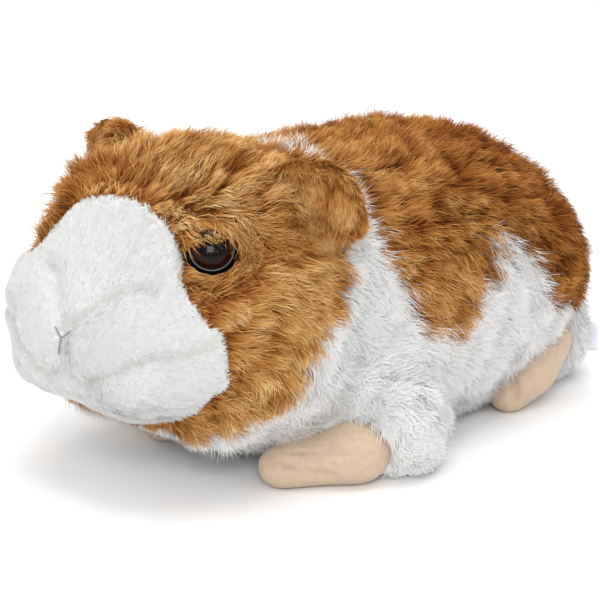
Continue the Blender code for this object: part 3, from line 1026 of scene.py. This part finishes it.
def pile_finish(name, stops, weights, base):
    """A pile's finish: a ramp by place along the strand, dye, patch, shade and painted rear shade."""
    finish, tree, shader = new_finish(name, 0.85, 0.1)
    place = add_node(tree, "ShaderNodeTexCoord").outputs["Object"]
    patches = add_noise(tree, place, PATCH_SCALE)
    y = add_node(tree, "ShaderNodeSeparateXYZ", [("Vector", place)]).outputs["Y"]
    # Painted shade, darker towards the rear.
    ends = [("From Min", SHOULDER), ("From Max", RUMP)]
    behind = add_node(tree, "ShaderNodeMapRange", [("Value", y)], ends).outputs["Result"]
    along, tint, shade, blush = (read(tree, name) for name in ("along", "tint", "shade", "blush"))
    sources = zip((along, tint, patches, shade, behind), weights)
    colour = add_ramp(tree, weighed(tree, sources, base), stops)
    # Warm painted shade where the pile meets a paw.
    amount = weighed(tree, [(blush, PAW_SHADE_SHARE)], 0)
    blushed = add_node(
        tree, "ShaderNodeMix", [(0, amount), (6, colour)], [(7, (*PAW_SHADE, 1))], data_type="RGBA")
    tree.links.new(blushed.outputs[2], shader.inputs["Base Color"])
    return finish


# Weights for along, tint, patches, shade and behind (painted shade to the rear), and the ramp's base.
caramel_pile = pile_finish("caramel_pile", CARAMEL, (0.68, 0.65, 0.75, -0.18, -0.4), -0.395)
white_pile = pile_finish("white_pile", WHITE, (0.6, 0.4, 0.3, -0.1, 0), -0.05)
short_pile = pile_finish("short_pile", SHORT_WHITE, (0.3, 0.4, 0.3, -0.25, 0), 0.2)
cloth_colour = add_ramp(skin_tree, read(skin_tree, "caramel"), BACKING)
skin_tree.links.new(cloth_colour, skin_shader.inputs["Base Color"])

# %% [markdown]
# ## The coat
# Long pile covers the body, short pile the ears, and the shortest the muzzle, where it is
# trimmed along the seam. Under the belly the pile is crushed flat and sparse.

# %% Tufts all over
LOCKS_PER_MM2, TUFTS_PER_MM2 = 1 / 45, 1.5
LONG_SHARE, EAR_SHARE, BELLY_SHARE = 0.45, 0.8, 0.13  # of the tufts, how many grow there
BELLY_TOP = 4 * MM

locks = make_locks(LOCKS_PER_MM2, 11)
tufts = make_tufts(TUFTS_PER_MM2, 12)
muzzle = on_muzzle(tufts["outer"])
ears = (on_ears(tufts["place"]) > 0.5) & ~muzzle
belly = (tufts["normal"][:, 2] < -0.8) & (tufts["place"][:, 2] < BELLY_TOP) & ~muzzle
chance = np.random.default_rng(13).random(len(muzzle))
wanted = np.where(belly, BELLY_SHARE, LONG_SHARE)
wanted[(tufts["place"][:, 0] < 0) & (before_eyes(tufts["place"]) > 0.2)] = 1  # the far eye's
long_pile = ~muzzle & ~ears & (chance < wanted)
ears &= chance < EAR_SHARE
print(muzzle.sum(), "tufts on the muzzle,", ears.sum(), "on the ears,", long_pile.sum(), "elsewhere")

# %% How each pile looks
# Strands in a tuft, the tuft's radius and a strand's width in mm, points along a strand, how far
# it sways aside, how strongly locks pull it, the skin's share in its normals, how far its flat
# side rolls about its line, in radians, and whether partings show.
LOOK_KEYS = ("strands", "spread", "width", "steps", "sway", "pull", "even", "roll", "partings")
LOOKS = {
    "caramel_pile": (6, 1.2, 0.23, 4, 0.23, 0.9, 0.35, 0.6, True),
    "white_pile": (8, 1.7, 0.24, 3, 0.32, 0.45, 1.0, 0.4, False),
    "ear_pile": (8, 1.1, 0.22, 3, 0.3, 0.5, 0.35, 0.6, True),
    "muzzle_pile": (8, 1.3, 0.22, 3, 0.4, 0.1, 1.0, 0.1, False)}

# %% Long pile, caramel and white
EDGE_STRETCH = 0.45  # of white strands that would hang over caramel
body_tufts = only(tufts, long_pile)
lean = 0.7 * ease(body_tufts["place"][:, 1], -85 * MM, -65 * MM) * strand_length(body_tufts["depth"])
tan = is_caramel(body_tufts["outer"] + body_tufts["lie"] * lean[:, None])
caramel_tufts, white_tufts = only(body_tufts, tan), only(body_tufts, ~tan)
tips = white_tufts["outer"] + white_tufts["lie"] * strand_length(white_tufts["depth"])[:, None]
white_tufts["stretch"] *= np.where(is_caramel(tips), EDGE_STRETCH, 1)
add_pile("caramel_pile", caramel_tufts, caramel_pile, 21)
add_pile("white_pile", white_tufts, white_pile, 22)

# %% Short pile on the ears and the muzzle
TRIMMED_PILE = 1.6 * MM
muzzle_tufts, ear_tufts = only(tufts, muzzle), only(tufts, ears)
muzzle_tufts["depth"] = np.minimum(muzzle_tufts["depth"], TRIMMED_PILE)
room = ahead_of_muzzle_edge(muzzle_tufts["outer"]) + 0.4 * MM
muzzle_tufts["stretch"] *= np.clip(room / strand_length(muzzle_tufts["depth"]), 0.2, 1)
muzzle_tufts["lift"] *= 0.75
add_pile("ear_pile", ear_tufts, caramel_pile, 23)
add_pile("muzzle_pile", muzzle_tufts, short_pile, 24)

# %% [markdown]
# ## Safety eyes
# A safety eye is one moulding of plastic, pushed through the cloth: a black flange that lies on
# it, a low wall with a rounded lip, and a clear dome over a brown iris and a black pupil. Half of
# its section is spun once round its axis. Its colours are rings, so they are read from each
# point's distance to that axis. The thin grey ring on the lip is a painted highlight.

# %% The eye's section and colours
DOME_FOOT, DOME_RISE = (6.35, 2.5), 4.2  # mm
EYE_RINGS_AND_LIP_HIGHLIGHT = [  # share of the flange's radius, colour; the grey ring on the lip is a painted highlight
    (0.0, (0.001, 0.001, 0.001)), (0.44, (0.002, 0.001, 0.001)), (0.50, (0.010, 0.0016, 0.001)),
    (0.66, (0.016, 0.0025, 0.0012)), (0.745, (0.006, 0.002, 0.001)), (0.77, (0.12, 0.125, 0.13)),
    (0.79, (0.09, 0.095, 0.10)), (0.81, (0.003, 0.003, 0.003))]
DOME_STEPS = 12
eye_section = [  # radius and height in mm: the flange, the wall and its lip
    (0, 0), (8.2, 0), (8.6, 0.4), (8.6, 0.9), (8.2, 1.3), (7.2, 1.45), (7.05, 2.3), (6.95, 2.75),
    (6.75, 2.9), (6.5, 2.75)]
for k in range(DOME_STEPS + 1):
    turn = math.radians(90 * k / DOME_STEPS)
    eye_section.append((DOME_FOOT[0] * math.cos(turn), DOME_FOOT[1] + DOME_RISE * math.sin(turn)))

eye_finish, eye_tree, eye_shader = new_finish("eye_plastic", 0.05, 0.15)
eye_colour = add_ramp(eye_tree, read(eye_tree, "from_axis"), EYE_RINGS_AND_LIP_HIGHLIGHT)
eye_tree.links.new(eye_colour, eye_shader.inputs["Base Color"])

# %% The eyes


def spun(section, steps):
    """A closed turned shape from its half section, (radius, height) in mm."""
    bm = bmesh.new()
    ring = [bm.verts.new((r * MM, 0, z * MM)) for r, z in section]
    edges = [bm.edges.new(pair) for pair in zip(ring[:-1], ring[1:])]
    bmesh.ops.spin(
        bm, geom=ring + edges, cent=(0, 0, 0), axis=(0, 0, 1), dvec=(0, 0, 0),
        angle=math.tau, steps=steps, use_merge=True, use_duplicate=False)
    bmesh.ops.remove_doubles(bm, verts=bm.verts, dist=1e-6)
    bmesh.ops.recalc_face_normals(bm, faces=bm.faces)
    return bm


for side, place in eye_frames.items():
    eye_bm = spun(eye_section, 64)
    eye_bm.transform(place)
    eye_mesh = mesh_from_bmesh(f"safety_eye_{side}", eye_bm)
    eye = add_piece(eye_mesh, eye_finish)
    _, radius = eye_local(read_rows(eye_mesh.vertices, "co", 3), place)
    add_attribute(eye_mesh, "from_axis", radius / FLANGE_RADIUS)
    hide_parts(f"eye_{side}")
    print(eye.name, "is", round(2 * FLANGE_RADIUS / MM, 1), "mm across its flange")

# %% [markdown]
# ## Velour paws
# The feet are flat little cushions of a short peach velour, each cut from two pieces. A seam
# runs along the front paw's ridge, a fold dents it below, and a crease sets off the hind paw's
# toe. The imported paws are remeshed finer, and the same grooves as on the muzzle are cut in them.

# %% Velour
VELOUR = [(0.3, (0.51, 0.375, 0.265)), (0.7, (0.57, 0.43, 0.31))]
MOTTLE_SCALE, NAP_SCALE = 420, 2200
NAP_BUMP = [("Strength", 0.5), ("Distance", 0.25 * MM)]
velour, tree, shader = new_finish("peach_velour", 0.95, 0.15)
shader.inputs["Sheen Weight"].default_value = 0.25
place_on_paw = add_node(tree, "ShaderNodeTexCoord").outputs["Object"]
mottle = add_noise(tree, place_on_paw, MOTTLE_SCALE, detail=4)
tree.links.new(add_ramp(tree, mottle, VELOUR), shader.inputs["Base Color"])
nap = add_noise(tree, place_on_paw, NAP_SCALE)
bump = add_node(tree, "ShaderNodeBump", [("Height", nap)], NAP_BUMP)
tree.links.new(bump.outputs["Normal"], shader.inputs["Normal"])

# %% The paws
PAW_VOXEL = 0.8 * MM
PAW_SEAMS = {  # corners, depth and half width in mm, for the left side
    "front_paw": [
        ([(38.5, -61, 9.7), (45, -55, 12.1), (51, -51.5, 13.3), (56, -49.5, 12.6),
          (63.5, -40.5, 12)], 0.7, 0.9),
        ([(44, -60.5, 10), (46.7, -58.6, 9.1), (50.4, -55.8, 6.6), (54.6, -50.6, 4.9)], 1.5, 1.7)],
    "hind_paw": [
        ([(48, 47, 15), (50.3, 48.5, 13), (52.5, 48.2, 9.5), (53, 47.5, 5)], 2.2, 1.7),
        ([(49, 56, 23), (53, 52, 17), (51.5, 50.5, 14)], 0.5, 2.5)]}

for node in paw_nodes:
    paw_bm = bmesh.new()
    node_mesh(paw_bm, node)
    paw_bm = remeshed(paw_bm, PAW_VOXEL, 6)
    cut_grooves(paw_bm, PAW_SEAMS[kind_of(node)])
    paw = add_piece(mesh_from_bmesh(f"velour_{node}", paw_bm), velour)
    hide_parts(node)
    print(paw.name, len(paw.data.polygons), "faces")

# %% [markdown]
# ## The nose
# The nose is nothing but a few stitches of blue grey thread, pulled tight where the muzzle's
# seams meet: two short arms, and a stem of two. A stitch is thickest in its middle and dips into the
# cloth at both ends, which is the shape of a stretched ball.

# %% Stitches
THREAD_RADIUS = 0.36 * MM
STITCH_HALF = 0.62  # of the way between its ends
STITCH_SINK = Vector((0, 0.15 * MM, 0))
STITCHES = [  # (x, z) of both ends, mm
    ((-3.3, 55.6), (-0.5, 53.2)), ((3.3, 55.6), (0.5, 53.2)), ((0.1, 53.4), (-0.1, 51.0)),
    ((-0.1, 50.9), (0.1, 48.3))]
thread_finish, _, _ = new_finish("nose_thread", 0.6, 0.3, (0.20, 0.235, 0.26))


def on_outline(x, z):
    """The point of the body's outline straight ahead of (x, z) mm."""
    return body_tree.ray_cast(Vector((x * MM, -0.2, z * MM)), Vector((0, 1, 0)))[0]


stitch_bm = bmesh.new()
for ends in STITCHES:
    start, end = (on_outline(*place) for place in ends)
    middle = Matrix.Translation((start + end) / 2 + STITCH_SINK)
    turn = (end - start).to_track_quat("Z", "Y").to_matrix().to_4x4()
    half_length = STITCH_HALF * (end - start).length
    size = Matrix.Diagonal((THREAD_RADIUS, THREAD_RADIUS, half_length, 1))
    bmesh.ops.create_uvsphere(
        stitch_bm, u_segments=12, v_segments=10, radius=1, matrix=middle @ turn @ size)
stitches = add_piece(mesh_from_bmesh("nose_thread", stitch_bm), thread_finish)
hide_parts("nose_stitches")
print(len(STITCHES), "stitches")

# %% [markdown]
# ## The care label
# A strip of satin ribbon is folded double and caught in the seam behind the hind leg. It stays
# blank. It is a chain of edges along the ribbon's path, out and back, extruded across its
# width, and it waves a little, as soft ribbon does.

# %% The folded ribbon
LABEL_REACH, LABEL_WIDTH, LABEL_GAP = 13.4, 10.0, 0.35  # mm; the gap is half of what's between
ACROSS = 6  # steps in its width

out_path = [(LABEL_REACH * k / 10, LABEL_GAP) for k in range(11)]
fold = [(LABEL_REACH + LABEL_GAP * math.sin(math.pi * k / 6), LABEL_GAP * math.cos(math.pi * k / 6))
        for k in range(1, 6)]
ribbon_path = out_path + fold + [(x, -y) for x, y in reversed(out_path)]
label_bm = bmesh.new()
chain = [label_bm.verts.new((x * MM, y * MM, -LABEL_WIDTH / 2 * MM)) for x, y in ribbon_path]
row = [label_bm.edges.new(pair) for pair in zip(chain[:-1], chain[1:])]
for _ in range(ACROSS):
    made = bmesh.ops.extrude_edge_only(label_bm, edges=row)["geom"]
    row_verts = [v for v in made if isinstance(v, bmesh.types.BMVert)]
    edges = [e for e in made if isinstance(e, bmesh.types.BMEdge)]
    row = [e for e in edges if all(v in row_verts for v in e.verts)]
    bmesh.ops.translate(label_bm, verts=row_verts, vec=(0, 0, LABEL_WIDTH / ACROSS * MM))
for v in label_bm.verts:
    wave = 0.5 * MM * math.sin(v.co.x / (3.2 * MM))
    ripple = 0.3 * MM * math.sin(v.co.z / (3 * MM) + v.co.x / (6 * MM))
    v.co.y += wave + ripple
bmesh.ops.recalc_face_normals(label_bm, faces=label_bm.faces)
print("ribbon:", LABEL_WIDTH, "by", 2 * LABEL_REACH, "mm before it is folded")

# %% The label in its seam
LABEL_ROOT = (33, 101, 13)  # mm
LABEL_TURN = math.radians(42)
RIBBON_THICKNESS = 0.12 * MM

label_bm.transform(Matrix.Translation(Vector(LABEL_ROOT) * MM) @ Matrix.Rotation(LABEL_TURN, 4, "Z"))
satin, _, _ = new_finish("blank_satin", 0.38, 0.5, (0.74, 0.72, 0.80))
label = add_piece(mesh_from_bmesh("satin_label", label_bm), satin)
thick = label.modifiers.new("thickness", "SOLIDIFY")
thick.thickness = RIBBON_THICKNESS
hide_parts("care_label")
print("label:", len(label.data.polygons), "faces")
